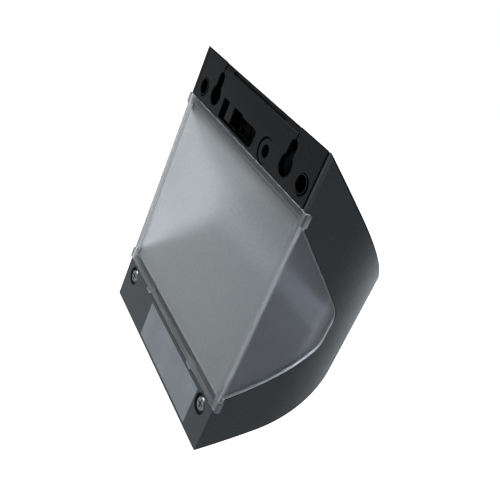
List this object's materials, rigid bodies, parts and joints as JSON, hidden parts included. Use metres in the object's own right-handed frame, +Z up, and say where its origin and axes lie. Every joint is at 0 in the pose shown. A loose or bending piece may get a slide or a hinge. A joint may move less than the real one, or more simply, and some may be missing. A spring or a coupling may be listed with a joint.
{
  "type": "wall pack light",
  "caption": "Wedge-nosed outdoor wall light with a dark moulded housing, keyhole back plate and a frosted diffuser that shows at the back and both sides.",
  "frame": {"origin": "on the wall plane, midway between the entry circles of the two keyholes", "axes": "+Z up as it hangs, +Y into the wall, the light stands out along -Y"},
  "size_m": [0.1064, 0.0747, 0.1248],
  "materials": {
    "housing_plastic": "fine satin moulding grain, anthracite",
    "plate_plastic": "fine satin moulding grain, anthracite",
    "frosted_diffuser": "frosted clear, glossy rim",
    "seal_rubber": "soft foam",
    "reflector_plastic": "satin grey",
    "blackened_steel": "black zinc",
    "zinc_steel": "zinc plated",
    "sticker": "matt silver foil, bare",
    "terminal_plastic": "dark polyamide",
    "board_white": "white solder mask on aluminium",
    "led_lens": "yellow phosphor",
    "spreader_aluminium": "rolled sheet",
    "standoff_nylon": "natural nylon",
    "board_green": "solder mask",
    "ferrite": "ferrite and tape",
    "can_sleeve": "shrink sleeve",
    "resin_black": "moulded resin",
    "resistor_body": "lacquer",
    "lead_sleeve": "soft sleeve",
    "led_lead_sleeve": "soft sleeve"
  },
  "bodies": {
    "housing": {"housing_shell": "housing_plastic", "mounting_plate": "plate_plastic", "plate_screws": "blackened_steel", "centre_screw": "blackened_steel", "terminal_block": "terminal_plastic", "terminal_screws": "blackened_steel", "reflector": "reflector_plastic", "reflector_screws": "zinc_steel", "rating_sticker": "sticker", "led_board": "board_white", "leds": "led_lens", "led_board_screws": "zinc_steel", "heat_spreader": "spreader_aluminium", "driver_standoffs": "standoff_nylon", "driver_board": "board_green", "driver_screws": "zinc_steel", "transformer": "ferrite", "input_capacitor": "can_sleeve", "output_capacitor": "can_sleeve", "inductor": "ferrite", "rectifier": "resin_black", "fuse_resistor": "resistor_body", "mains_leads": "lead_sleeve", "led_leads": "led_lead_sleeve"},
    "diffuser": {"diffuser": "frosted_diffuser", "diffuser_seals": "seal_rubber"}
  },
  "joints": [
    {"name": "diffuser_release", "type": "slide", "parent": "housing", "child": "diffuser", "axis": [0, 1, 0], "range_m": [0, 0.045]}
  ]
}
